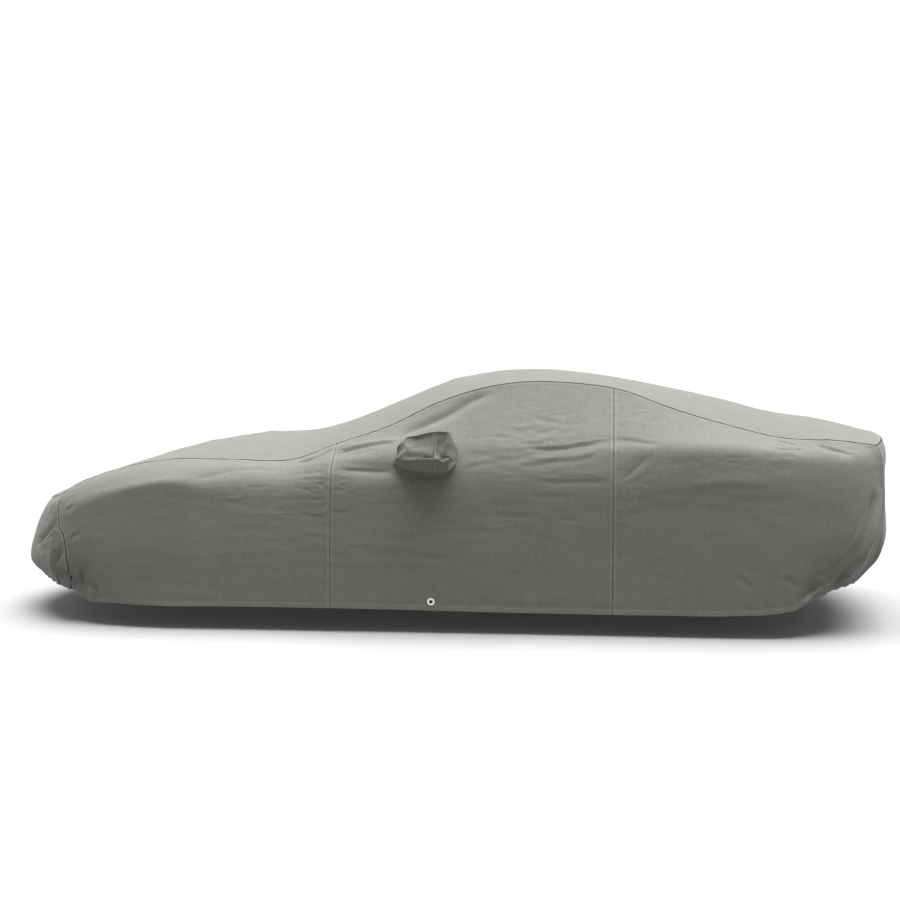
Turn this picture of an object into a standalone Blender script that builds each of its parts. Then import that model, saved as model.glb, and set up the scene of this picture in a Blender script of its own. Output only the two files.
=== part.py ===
"""Fitted cover: panels of grey cloth sewn into one hollow shell, with two mirror pockets and two eyelets.

The nose points to -X, the tail to +X, and the left side to -Y. The origin lies on the inner face
of the cloth under its highest part. The tables give x from the middle of the length, and heights
above the ground.
"""

import math

import bmesh
import bpy
from mathutils import Matrix, Vector

# Driving sizes, in metres
CLOTH = 0.002  # the layered cloth's thickness
GAP = 0.0003  # between two sewn pieces
ORIGIN = Vector((0.500, 0.0, 1.256))  # the cloth's inner face at the peak
CROWN_POWER = 2.4  # how squarely the top panel rolls over to its edges
SHOULDER_ROUND = 0.05  # radius where the cloth turns at the shoulder
BELLY_ROUND = 0.12  # radius where the skirt turns in towards the hem

# The top panel: a row for each section, from the nose to the tail.
# x, half and seam place the long seam; ridge_x and ridge place the middle line.
TOP_COLUMNS = ("x", "half", "seam", "ridge_x", "ridge")
TOP_ROWS = (
    (-1.905, 0.700, 0.650, -2.130, 0.585),  # 0 nose seam
    (-1.800, 0.695, 0.716, -1.950, 0.665),  # 1
    (-1.600, 0.690, 0.782, -1.680, 0.762),  # 2
    (-1.340, 0.690, 0.829, -1.360, 0.852),  # 3 front crest's peak
    (-1.050, 0.690, 0.829, -1.050, 0.907),  # 4
    (-0.740, 0.700, 0.831, -0.740, 0.930),  # 5
    (-0.505, 0.670, 0.912, -0.505, 0.997),  # 6 first upright seam
    (-0.250, 0.640, 0.998, -0.250, 1.099),  # 7
    (0.000, 0.605, 1.117, 0.000, 1.199),  # 8 mirror pocket
    (0.250, 0.585, 1.196, 0.250, 1.251),  # 9
    (0.530, 0.570, 1.224, 0.530, 1.258),  # 10 peak
    (0.875, 0.580, 1.192, 0.860, 1.220),  # 11 second upright seam
    (1.150, 0.615, 1.098, 1.150, 1.168),  # 12
    (1.420, 0.655, 1.020, 1.420, 1.110),  # 13 rear crest's peak
    (1.700, 0.705, 0.957, 1.700, 1.040),  # 14
    (1.950, 0.715, 0.947, 1.960, 1.000),  # 15
    (2.155, 0.650, 0.920, 2.250, 0.930),  # 16 tail seam
)

# The walls: a row for each section around the left half, from the nose's middle to the tail's.
# at counts the rows above; it runs below 0 across the nose and past the last row across the tail.
# turn is the way that the wall faces, in degrees: 90 forwards, 0 sideways, -90 backwards.
# Each *_out is a distance from the long seam, and shoulder, crest, belly and hem are heights.
WALL_COLUMNS = (
    "at", "turn", "shoulder_out", "shoulder", "crest_out", "crest", "crest_round",
    "belly_out", "belly", "hem_out", "hem",
)
WALL_ROWS = (
    (-1.0, 90, 0.038, 0.545, 0.078, 0.460, 0.060, 0.134, 0.268, 0.055, 0.203),
    (-0.5, 72, 0.038, 0.550, 0.078, 0.465, 0.060, 0.134, 0.268, 0.055, 0.203),
    (0.0, 42, 0.042, 0.600, 0.064, 0.510, 0.070, 0.100, 0.290, 0.030, 0.182),
    (1.0, 22, 0.070, 0.672, 0.118, 0.590, 0.045, 0.150, 0.330, 0.068, 0.158),
    (1.5, 16, 0.080, 0.713, 0.143, 0.637, 0.035, 0.173, 0.355, 0.125, 0.120),
    (2.0, 10, 0.090, 0.750, 0.165, 0.675, 0.025, 0.195, 0.380, 0.175, 0.121),
    (3.0, 0, 0.110, 0.795, 0.205, 0.737, 0.022, 0.225, 0.420, 0.225, 0.117),
    (4.0, 0, 0.122, 0.802, 0.195, 0.722, 0.060, 0.225, 0.420, 0.228, 0.120),
    (5.0, 0, 0.115, 0.797, 0.190, 0.720, 0.090, 0.220, 0.420, 0.222, 0.121),
    (6.0, 0, 0.155, 0.855, 0.235, 0.755, 0.090, 0.255, 0.420, 0.255, 0.121),
    (7.0, 0, 0.200, 0.882, 0.265, 0.765, 0.100, 0.285, 0.420, 0.283, 0.119),
    (8.0, 0, 0.232, 0.895, 0.302, 0.765, 0.110, 0.320, 0.420, 0.318, 0.116),
    (9.0, 0, 0.262, 0.900, 0.326, 0.765, 0.110, 0.340, 0.420, 0.338, 0.113),
    (10.0, 0, 0.285, 0.905, 0.343, 0.765, 0.110, 0.355, 0.420, 0.353, 0.111),
    (11.0, 0, 0.287, 0.915, 0.340, 0.768, 0.100, 0.350, 0.420, 0.350, 0.110),
    (12.0, 0, 0.278, 0.922, 0.312, 0.768, 0.060, 0.322, 0.420, 0.320, 0.112),
    (13.0, 0, 0.245, 0.925, 0.278, 0.768, 0.025, 0.288, 0.420, 0.288, 0.114),
    (14.0, -6, 0.182, 0.900, 0.222, 0.755, 0.050, 0.235, 0.420, 0.222, 0.138),
    (14.5, -12, 0.155, 0.888, 0.195, 0.735, 0.080, 0.210, 0.425, 0.160, 0.200),
    (15.0, -20, 0.132, 0.878, 0.165, 0.715, 0.090, 0.178, 0.430, 0.085, 0.238),
    (16.0, -55, 0.030, 0.870, 0.046, 0.720, 0.100, 0.058, 0.395, -0.088, 0.248),
    (16.5, -78, 0.025, 0.870, 0.012, 0.720, 0.100, 0.034, 0.385, -0.130, 0.238),
    (17.0, -90, 0.025, 0.870, 0.012, 0.720, 0.100, 0.034, 0.385, -0.130, 0.238),
)

# Down a wall, v counts its turns: 0 long seam, 1 shoulder, 2 crest, 3 belly, 4 hem
HEM = 4.0
STRIP_TOP = 3.70
POCKET_STEPS = (0.68, 0.86, 1.06, 1.25, 1.66, 1.84)
WALL_STEPS = (0.0, 0.22, 0.45, *POCKET_STEPS, 2.02, 2.25, 2.60, 3.00, 3.40, STRIP_TOP, HEM)

# Along the walls, by the top panel's rows
NOSE_SEAM, FIRST_SEAM, SECOND_SEAM, TAIL_SEAM = 0, 6, 11, 16
STEPS_PER_ROW = (3, 3, 3, 3, 3, 3, 4, 4, 4, 4, 4, 4, 4, 4, 4, 4)
HALF_ACROSS = 6  # panel steps from the middle line to a long seam

# The nose seam wanders back as it comes down: at one turn after another, in rows
NOSE_SEAM_DRIFT = (0.0, 0.12, 0.34, 0.95, 0.72)
DRIFT_REACH = (1.0, 3.2)  # how far before and after the seam the drift dies away, in rows

# The mirror pocket's sections from front to back, between its first and last columns on the wall.
# Each pair is a distance from the middle line and a height.
POCKET_FIRST, POCKET_LAST = 7.25, 8.50
POCKET_COLUMNS = ("at", "x", "top_out", "top", "ridge_out", "ridge", "under_out", "under")
POCKET_ROWS = (
    (7.50, -0.142, 0.900, 0.953, 0.962, 0.858, 0.938, 0.806),
    (7.75, -0.065, 0.964, 0.980, 1.016, 0.866, 0.978, 0.800),
    (8.00, 0.014, 1.006, 1.000, 1.045, 0.872, 1.000, 0.798),
    (8.25, 0.064, 1.018, 1.001, 1.043, 0.870, 1.000, 0.798),
    (8.38, 0.094, 0.996, 0.988, 1.016, 0.874, 0.972, 0.808),
)
POCKET_SEAM = 8.00
POCKET_SAG = 0.008  # the slack between the pocket's top edge and its ridge
POCKET_LIFT = 0.0004  # the pocket's foot over the wall's face

# The eyelet
EYELET_AT = 7.97
EYELET_V = 3.825
EYELET_HOLE = 0.010  # radius cut in the cloth
EYELET_BORE = 0.0085
EYELET_RADIUS = 0.018
EYELET_PLATE = 0.001
EYELET_DOME = 0.0017
EYELET_SEGMENTS = 20

# Broad folds of the left side, repeated on the right. Depth is outwards, reach is the fold's half width,
# and each point is x, distance from the middle line and height.
FOLD_COLUMNS = ("name", "depth", "reach", "points")
FOLD_ROWS = (
    ("slack under the long seam", -0.010, 0.030, (
        (-0.16, 0.72, 0.97), (-0.03, 0.695, 1.024), (0.054, 0.687, 1.055), (0.19, 0.635, 1.136),
    )),
    ("pull in front of the pocket", 0.010, 0.030, (
        (-0.50, 0.75, 0.893), (-0.40, 0.76, 0.905), (-0.30, 0.77, 0.922), (-0.215, 0.77, 0.935),
    )),
    ("hollow under that pull", -0.008, 0.028, (
        (-0.50, 0.80, 0.850), (-0.40, 0.80, 0.865), (-0.31, 0.805, 0.885),
    )),
    ("hollow under the pocket", -0.008, 0.030, (
        (-0.36, 0.875, 0.795), (-0.19, 0.883, 0.788), (0.04, 0.893, 0.776),
    )),
    ("crease along the shoulder", -0.007, 0.026, (
        (0.42, 0.851, 0.893), (0.59, 0.853, 0.900), (0.70, 0.850, 0.913),
        (0.87, 0.834, 0.943), (1.06, 0.848, 0.935),
    )),
    ("crease behind the second seam", -0.006, 0.026, (
        (0.90, 0.910, 0.783), (0.955, 0.908, 0.795), (0.984, 0.899, 0.836), (1.03, 0.889, 0.869),
    )),
    ("slack at the rear deck", -0.008, 0.035, (
        (1.86, 0.75, 0.93), (1.94, 0.79, 0.882), (2.0, 0.787, 0.855),
    )),
    ("tail corner's fold", 0.014, 0.032, (
        (2.165, 0.735, 0.69), (2.155, 0.761, 0.61), (2.134, 0.781, 0.53),
        (2.10, 0.785, 0.42), (2.05, 0.76, 0.31),
    )),
    ("hollow behind the tail corner", -0.010, 0.028, (
        (2.20, 0.66, 0.60), (2.19, 0.68, 0.50), (2.16, 0.70, 0.40), (2.11, 0.68, 0.32),
    )),
    ("rear gather", -0.014, 0.028, ((1.97, 0.83, 0.34), (1.958, 0.836, 0.285), (1.934, 0.820, 0.235))),
    ("rear gather, forward", -0.012, 0.028, ((1.83, 0.906, 0.27), (1.80, 0.905, 0.22))),
    ("nose pull", -0.008, 0.030, ((-1.93, 0.755, 0.50), (-2.00, 0.673, 0.447), (-2.10, 0.517, 0.353))),
    ("nose gather", -0.010, 0.028, ((-1.876, 0.800, 0.38), (-1.915, 0.786, 0.33), (-1.924, 0.770, 0.28))),
    ("front gather", -0.012, 0.026, ((-1.77, 0.829, 0.28), (-1.775, 0.800, 0.17))),
)

LEFT, RIGHT = -1, 1
SIDE_NAMES = {LEFT: "left", RIGHT: "right"}


def clear_scene():
    for obj in list(bpy.data.objects):
        bpy.data.objects.remove(obj)


def material(name, colour, roughness, metallic=0.0):
    made = bpy.data.materials.new(name)
    made.use_nodes = True
    shader = made.node_tree.nodes["Principled BSDF"]
    shader.inputs["Base Color"].default_value = (*colour, 1.0)
    shader.inputs["Roughness"].default_value = roughness
    shader.inputs["Metallic"].default_value = metallic
    return made


def between(rows, columns, place, level_ends=False):
    """The columns at a place along a table's first value, on a smooth curve through its rows."""
    last = len(rows) - 1
    i = 0
    while i < last - 1 and place > rows[i + 1][0]:
        i += 1
    before, a, b, after = rows[max(i - 1, 0)], rows[i], rows[i + 1], rows[min(i + 2, last)]
    span = b[0] - a[0]
    t = (place - a[0]) / span
    found = {}
    for n, name in enumerate(columns):
        start = (b[n] - before[n]) / (b[0] - before[0]) * span
        end = (after[n] - a[n]) / (after[0] - a[0]) * span
        if level_ends and i == 0:
            start = 0.0
        if level_ends and i == last - 1:
            end = 0.0
        curve = a[n] * (1 - t) ** 2 * (1 + 2 * t) + b[n] * t**2 * (3 - 2 * t)
        found[name] = curve + start * t * (1 - t) ** 2 - end * t**2 * (1 - t)
    return found


def top_point(side, at, across):
    """A point of the top panel: across runs from 0 on the middle line to 1 on the long seam."""
    rows = [(n, *row) for n, row in enumerate(TOP_ROWS)]
    row = between(rows, ("at", *TOP_COLUMNS), at)
    bow = 1 - across**2
    crown = 1 - across**CROWN_POWER
    return Vector((
        row["x"] + (row["ridge_x"] - row["x"]) * bow,
        side * row["half"] * across,
        row["seam"] + (row["ridge"] - row["seam"]) * crown,
    ))


def seam_point(side, at):
    if at < NOSE_SEAM:
        return top_point(side, NOSE_SEAM, 1 + at)
    if at > TAIL_SEAM:
        return top_point(side, TAIL_SEAM, 1 + TAIL_SEAM - at)
    return top_point(side, at, 1)


def rounded(corners, radii, v):
    """A point on the line through the corners, each rounded between v - 1/4 and v + 1/4."""
    def on_arm(i, towards):
        arm = corners[towards] - corners[i]
        return corners[i] + arm.normalized() * min(radii[i], 0.45 * arm.length)

    last = len(corners) - 1
    i = round(v)
    if 0 < i < last and abs(v - i) <= 0.25:
        s = (v - i) * 2 + 0.5
        start, end = on_arm(i, i - 1), on_arm(i, i + 1)
        return start * (1 - s) ** 2 + corners[i] * 2 * s * (1 - s) + end * s**2
    i = min(int(v), last - 1)
    start = on_arm(i, i + 1) if i > 0 else corners[0]
    end = on_arm(i + 1, i) if i + 1 < last else corners[last]
    low = i + 0.25 if i > 0 else 0.0
    high = i + 0.75 if i + 1 < last else float(last)
    return start.lerp(end, (v - low) / (high - low))


def wall_point(side, at, v):
    """A point of a wall before its folds."""
    row = between(WALL_ROWS, WALL_COLUMNS, at, level_ends=True)
    foot = seam_point(side, at)
    corners = [Vector((0, foot.z))]
    for name in ("shoulder", "crest", "belly", "hem"):
        corners.append(Vector((row[name + "_out"], row[name])))
    out, height = rounded(corners, (0, SHOULDER_ROUND, row["crest_round"], BELLY_ROUND, 0), v)
    turn = math.radians(row["turn"])
    return Vector((foot.x - out * math.sin(turn), foot.y + side * out * math.cos(turn), height))


def drifted(at, v):
    """Columns near the nose seam lean with it."""
    i = min(int(v), len(NOSE_SEAM_DRIFT) - 2)
    shift = NOSE_SEAM_DRIFT[i] + (NOSE_SEAM_DRIFT[i + 1] - NOSE_SEAM_DRIFT[i]) * (v - i)
    reach = DRIFT_REACH[0] if at < NOSE_SEAM else DRIFT_REACH[1]
    return at + shift * max(0.0, 1 - abs(at - NOSE_SEAM) / reach)


def panel_name(side, at, v):
    """The panel that a wall face belongs to, or None over a pocket's opening."""
    hand = SIDE_NAMES[side]
    if at < NOSE_SEAM:
        return "nose_panel"
    if at >= TAIL_SEAM:
        return "tail_panel"
    if at < FIRST_SEAM:
        return f"front_side_{hand}"
    if at >= SECOND_SEAM:
        return f"rear_side_{hand}"
    if POCKET_FIRST <= at < POCKET_LAST and POCKET_STEPS[0] <= v < POCKET_STEPS[-1]:
        return None
    return f"eyelet_strip_{hand}" if v >= STRIP_TOP else f"middle_side_{hand}"


def side_columns():
    columns = {row[0] for row in POCKET_ROWS}
    for n, steps in enumerate(STEPS_PER_ROW):
        columns |= {n + step / steps for step in range(steps)}
    return [*sorted(columns), TAIL_SEAM]


class Sheet:
    """The cloth's outer face: vertices by their place, and faces by their panel."""

    def __init__(self):
        self.mesh = bmesh.new()
        self.verts = {}
        self.layer = self.mesh.faces.layers.int.new("panel")
        self.names = []

    def vert(self, place, point):
        if place not in self.verts:
            self.verts[place] = self.mesh.verts.new(point)
        return self.verts[place]

    def face(self, name, corners, side):
        if name not in self.names:
            self.names.append(name)
        face = self.mesh.faces.new(corners if side == LEFT else corners[::-1])
        face[self.layer] = self.names.index(name)

    def split(self):
        """Triangles, so that both faces of the cloth bend along the same lines."""
        bmesh.ops.triangulate(self.mesh, faces=self.mesh.faces[:], quad_method="SHORT_EDGE")
        self.mesh.verts.index_update()
        self.mesh.normal_update()

    def faces_of(self, name):
        number = self.names.index(name)
        return [face for face in self.mesh.faces if face[self.layer] == number]


def build_shell():
    """The whole cover without its pockets as one sheet."""
    sheet = Sheet()
    side_at = side_columns()
    nose_at = [-1 + n / HALF_ACROSS for n in range(HALF_ACROSS)]
    tail_at = [TAIL_SEAM + (n + 1) / HALF_ACROSS for n in range(HALF_ACROSS)]
    ring = nose_at + side_at + tail_at
    across = [n / HALF_ACROSS for n in range(HALF_ACROSS + 1)]

    def wall(side, at, v):
        hand = 0 if at in (ring[0], ring[-1]) else side
        return sheet.vert(("wall", hand, round(at, 4), v), wall_point(side, drifted(at, v), v))

    def top(side, at, part):
        if part == 1:
            return wall(side, at, 0.0)
        if at == NOSE_SEAM:
            return wall(side, -1 + part, 0.0)
        if at == TAIL_SEAM:
            return wall(side, TAIL_SEAM + 1 - part, 0.0)
        return sheet.vert(("top", side if part else 0, at, part), top_point(side, at, part))

    def quad(vert, side, a, b, c, d):
        """The corners of the cell between columns a and b, and steps c and d."""
        return [vert(side, a, c), vert(side, a, d), vert(side, b, d), vert(side, b, c)]

    for side in (LEFT, RIGHT):
        for a, b in zip(ring, ring[1:]):
            for v, w in zip(WALL_STEPS, WALL_STEPS[1:]):
                name = panel_name(side, a, v)
                if name:
                    sheet.face(name, quad(wall, side, a, b, v, w), side)
        for a, b in zip(side_at, side_at[1:]):
            for c, d in zip(across, across[1:]):
                sheet.face("top_panel", quad(top, side, a, b, c, d), side)
    sheet.split()
    return sheet


def distance_to(point, line):
    """How far a point is from a line's nearest place, and how far along the line that is, from 0 to 1."""
    nearest, place = math.inf, 0.0
    for n, (a, b) in enumerate(zip(line, line[1:])):
        along = max(0.0, min(1.0, (point - a).dot(b - a) / (b - a).length_squared))
        away = (point - a.lerp(b, along)).length
        if away < nearest:
            nearest, place = away, (n + along) / (len(line) - 1)
    return nearest, place


def fold_cloth(sheet):
    """Pushes the sheet in and out along the broad folds, which die away at both ends."""
    moves = {}
    for _, depth, reach, points in FOLD_ROWS:
        for side in (LEFT, RIGHT):
            line = [Vector((x, side * out, height)) for x, out, height in points]
            for vert in sheet.mesh.verts:
                away, place = distance_to(vert.co, line)
                if away < 3 * reach:
                    swell = math.sin(math.pi * (0.15 + 0.7 * place))
                    push = depth * swell * math.exp(-((away / reach) ** 2))
                    moves[vert] = moves.get(vert, 0.0) + push
    for vert, push in moves.items():
        vert.co += vert.normal * push
    sheet.mesh.normal_update()


def build_pocket(side, shell):
    """A pocket's sheet, its foot over the edge of the wall's opening. It also returns the foot's facing."""
    columns = [POCKET_FIRST, *(row[0] for row in POCKET_ROWS), POCKET_LAST]
    sections = {row[0]: dict(zip(POCKET_COLUMNS, row)) for row in POCKET_ROWS}
    sheet = Sheet()
    facing = {}
    wall_edges = edge_directions(shell.faces_of(f"middle_side_{SIDE_NAMES[side]}"))

    def foot(at, v):
        edge = shell.verts[("wall", side, at, v)]
        vert = sheet.vert((at, v), edge.co + edge.normal * POCKET_LIFT + wall_edges[edge] * CLOTH)
        facing[vert] = wall_edges[edge]
        return vert

    def body(at, v):
        row = sections[at]
        corners = {
            POCKET_STEPS[1]: Vector((row["x"], side * row["top_out"], row["top"])),
            POCKET_STEPS[3]: Vector((row["x"], side * row["ridge_out"], row["ridge"])),
            POCKET_STEPS[4]: Vector((row["x"], side * row["under_out"], row["under"])),
        }
        if v == POCKET_STEPS[2]:
            middle = corners[POCKET_STEPS[1]].lerp(corners[POCKET_STEPS[3]], 0.5)
            return sheet.vert((at, v), middle - Vector((0, side * POCKET_SAG, 0)))
        return sheet.vert((at, v), corners[v])

    def vert(at, v):
        on_edge = at in (POCKET_FIRST, POCKET_LAST) or v in (POCKET_STEPS[0], POCKET_STEPS[-1])
        return foot(at, v) if on_edge else body(at, v)

    for a, b in zip(columns, columns[1:]):
        part = "face" if a < POCKET_SEAM else "end"
        name = f"mirror_pocket_{part}_{SIDE_NAMES[side]}"
        for v, w in zip(POCKET_STEPS, POCKET_STEPS[1:]):
            corners = [vert(a, v), vert(a, w), vert(b, w), vert(b, v)]
            raised = [n for n in range(4) if corners[n] not in facing]
            if len(raised) == 1:  # at a corner of the foot, the cloth bends along the line to it
                turned = corners[raised[0]:] + corners[:raised[0]]
                sheet.face(name, turned[:3], side)
                sheet.face(name, [turned[0], *turned[2:]], side)
            else:
                sheet.face(name, corners, side)
    sheet.split()
    return sheet, facing


def edge_directions(faces):
    """For each vertex on the faces' border, the mitred direction in the cloth from the border inwards."""
    chosen = set(faces)
    inwards = {}
    for face in faces:
        for loop in face.loops:
            edge = loop.edge
            if sum(other in chosen for other in edge.link_faces) != 1:
                continue
            run = (loop.link_loop_next.vert.co - loop.vert.co).normalized()
            inward = face.normal.cross(run)
            for vert in edge.verts:
                inwards.setdefault(vert, []).append(inward)
    mitred = {}
    for vert, found in inwards.items():
        total = sum(found, Vector())
        mitred[vert] = total / (1 + found[0].dot(found[-1]))
    return mitred


def make_panel(sheet, name, cloth, facing=None):
    """A closed solid from the faces of one panel: its outer face, its inner face, and the rim between."""
    faces = sheet.faces_of(name)
    border = edge_directions(faces)
    facing = facing or {}
    solid = bmesh.new()
    outer, inner = {}, {}
    for vert in {vert for face in faces for vert in face.verts}:
        on_foot = vert in facing
        inset = border.get(vert, Vector()) * (GAP / 2)
        depth = facing[vert] * CLOTH if on_foot else vert.normal * CLOTH * vert.calc_shell_factor()
        outer[vert] = solid.verts.new(vert.co + inset)
        inner[vert] = solid.verts.new(vert.co + inset - depth)
    chosen = set(faces)
    for face in faces:
        solid.faces.new([outer[vert] for vert in face.verts])
        solid.faces.new([inner[vert] for vert in reversed(face.verts)])
        for loop in face.loops:
            if sum(other in chosen for other in loop.edge.link_faces) == 1:
                a, b = loop.vert, loop.link_loop_next.vert
                # The rim's diagonal runs from the same end on both sides of a seam
                first, opposite = (outer[a], inner[b]) if a.index < b.index else (outer[b], inner[a])
                solid.faces.new([outer[b], outer[a], opposite])
                solid.faces.new([first, inner[a], inner[b]])
    bmesh.ops.translate(solid, verts=solid.verts[:], vec=-ORIGIN)
    mesh = bpy.data.meshes.new(name)
    solid.to_mesh(mesh)
    solid.free()
    mesh.materials.append(cloth)
    obj = bpy.data.objects.new(name, mesh)
    bpy.context.scene.collection.objects.link(obj)
    return obj


def eyelet_place(side):
    """The eyelet's frame: its axis points out of the cloth and starts on the outer face."""
    step = 0.05
    at, v = EYELET_AT, EYELET_V
    middle = wall_point(side, at, v)
    along = (wall_point(side, at + step, v) - wall_point(side, at - step, v)).normalized()
    down = wall_point(side, at, v + step) - wall_point(side, at, v - step)
    axis = down.cross(along).normalized() * -side
    frame = Matrix((along, axis.cross(along), axis)).transposed().to_4x4()
    return Matrix.Translation(middle - ORIGIN) @ frame


def punch_strip(strip, side):
    """Cuts the eyelet's hole through the strip."""
    mesh = bpy.data.meshes.new("eyelet_cutter")
    cutter = bmesh.new()
    bmesh.ops.create_cone(
        cutter, cap_ends=True, segments=EYELET_SEGMENTS,
        radius1=EYELET_HOLE, radius2=EYELET_HOLE, depth=10 * CLOTH,
    )
    cutter.to_mesh(mesh)
    cutter.free()
    obj = bpy.data.objects.new(f"eyelet_cutter_{SIDE_NAMES[side]}", mesh)
    bpy.context.scene.collection.objects.link(obj)
    obj.matrix_world = eyelet_place(side)
    obj.hide_render = True
    obj.display_type = "WIRE"
    cut = strip.modifiers.new("eyelet hole", "BOOLEAN")
    cut.operation = "DIFFERENCE"
    cut.object = obj


def make_eyelet(side, metal):
    """A domed front plate, a barrel through the cloth and a flat back plate, turned in one."""
    front = GAP
    back = -CLOTH - GAP
    barrel = EYELET_BORE + EYELET_PLATE
    profile = (
        (EYELET_BORE, back - EYELET_PLATE),
        (EYELET_RADIUS - EYELET_PLATE, back - EYELET_PLATE),
        (EYELET_RADIUS - EYELET_PLATE, back),
        (barrel, back),
        (barrel, front),
        (EYELET_RADIUS, front),
        (EYELET_RADIUS - EYELET_PLATE / 2, front + EYELET_PLATE),
        ((barrel + EYELET_RADIUS) / 2, front + EYELET_DOME),
        (barrel, front + EYELET_DOME),
        (EYELET_BORE, front + EYELET_PLATE),
    )
    mesh = bmesh.new()
    verts = [mesh.verts.new((radius, 0, height)) for radius, height in profile]
    edges = [mesh.edges.new((a, b)) for a, b in zip(verts, verts[1:] + verts[:1])]
    bmesh.ops.spin(
        mesh, geom=verts + edges, axis=(0, 0, 1), cent=(0, 0, 0),
        angle=math.tau, steps=EYELET_SEGMENTS, use_merge=True,
    )
    bmesh.ops.remove_doubles(mesh, verts=mesh.verts[:], dist=1e-5)
    bmesh.ops.recalc_face_normals(mesh, faces=mesh.faces[:])
    data = bpy.data.meshes.new(f"eyelet_{SIDE_NAMES[side]}")
    mesh.to_mesh(data)
    mesh.free()
    data.materials.append(metal)
    data.shade_smooth()
    data.set_sharp_from_angle(angle=math.radians(40))
    obj = bpy.data.objects.new(data.name, data)
    bpy.context.scene.collection.objects.link(obj)
    obj.matrix_world = eyelet_place(side)


def main():
    clear_scene()
    cloth = material("grey cloth", (0.17, 0.17, 0.155), 0.9)
    metal = material("nickel", (0.72, 0.70, 0.66), 0.25, metallic=1.0)
    shell = build_shell()
    fold_cloth(shell)
    panels = {name: make_panel(shell, name, cloth) for name in shell.names}
    for side in (LEFT, RIGHT):
        pocket, facing = build_pocket(side, shell)
        for name in pocket.names:
            make_panel(pocket, name, cloth, facing)
        punch_strip(panels[f"eyelet_strip_{SIDE_NAMES[side]}"], side)
        make_eyelet(side, metal)


main()
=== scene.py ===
import math

import bmesh
import bpy
import numpy as np
from mathutils import Matrix, Vector, noise


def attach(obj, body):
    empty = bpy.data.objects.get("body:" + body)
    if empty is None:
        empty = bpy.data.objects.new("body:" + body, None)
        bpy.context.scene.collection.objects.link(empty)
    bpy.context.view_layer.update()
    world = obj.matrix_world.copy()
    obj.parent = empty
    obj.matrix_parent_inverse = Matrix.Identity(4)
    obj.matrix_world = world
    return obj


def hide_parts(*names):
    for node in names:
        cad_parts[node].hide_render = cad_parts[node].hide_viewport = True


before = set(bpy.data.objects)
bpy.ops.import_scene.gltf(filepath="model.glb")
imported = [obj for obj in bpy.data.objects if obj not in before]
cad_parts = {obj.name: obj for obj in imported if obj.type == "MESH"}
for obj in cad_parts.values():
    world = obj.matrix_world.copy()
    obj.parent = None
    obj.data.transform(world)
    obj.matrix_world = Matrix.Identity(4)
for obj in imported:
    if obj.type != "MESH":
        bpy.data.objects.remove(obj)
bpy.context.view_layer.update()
scene = bpy.context.scene
left, right = -1, 1  # the left side has y below 0
sideNames = {left: "left", right: "right"}
mm = 1000  # the tables of rows are in millimetres: x from the middle of the length, heights from the ground
far = 1  # a metre away: beyond the reach of a seam or the hem

# The whole cover
cover = {
    "origin": (0.5, 0, 1.256),  # the frame's origin, in the tables' own places
    "crownPower": 2.4,
    "shoulderRound": 0.05,
    "bellyRound": 0.12,
    "driftReach": (1.0, 3.2),
    "cornerSeams": (1, 17),  # upright seams, as places round the ring of walls
    "sideSeams": (7, 12),
    "cloth": 0.001,
    "hemTurn": 0.024,
    "hemRadius": 0.0012,
}

# at, x, half, seam, ridgeX, ridge: the top panel's sections from the nose to the tail
topRows = np.array((
    (0, -1905, 700, 650, -2130, 585),
    (1, -1800, 695, 716, -1950, 665),
    (2, -1600, 690, 782, -1680, 762),
    (3, -1340, 690, 829, -1360, 852),
    (4, -1050, 690, 829, -1050, 907),
    (5, -740, 700, 831, -740, 930),
    (6, -505, 670, 912, -505, 997),
    (7, -250, 640, 998, -250, 1099),
    (8, 0, 605, 1117, 0, 1199),
    (9, 250, 585, 1196, 250, 1251),
    (10, 530, 570, 1224, 530, 1258),
    (11, 875, 580, 1192, 860, 1220),
    (12, 1150, 615, 1098, 1150, 1168),
    (13, 1420, 655, 1020, 1420, 1110),
    (14, 1700, 705, 957, 1700, 1040),
    (15, 1950, 715, 947, 1960, 1000),
    (16, 2155, 650, 920, 2250, 930),
)) / (1, *[mm] * 5)

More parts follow.
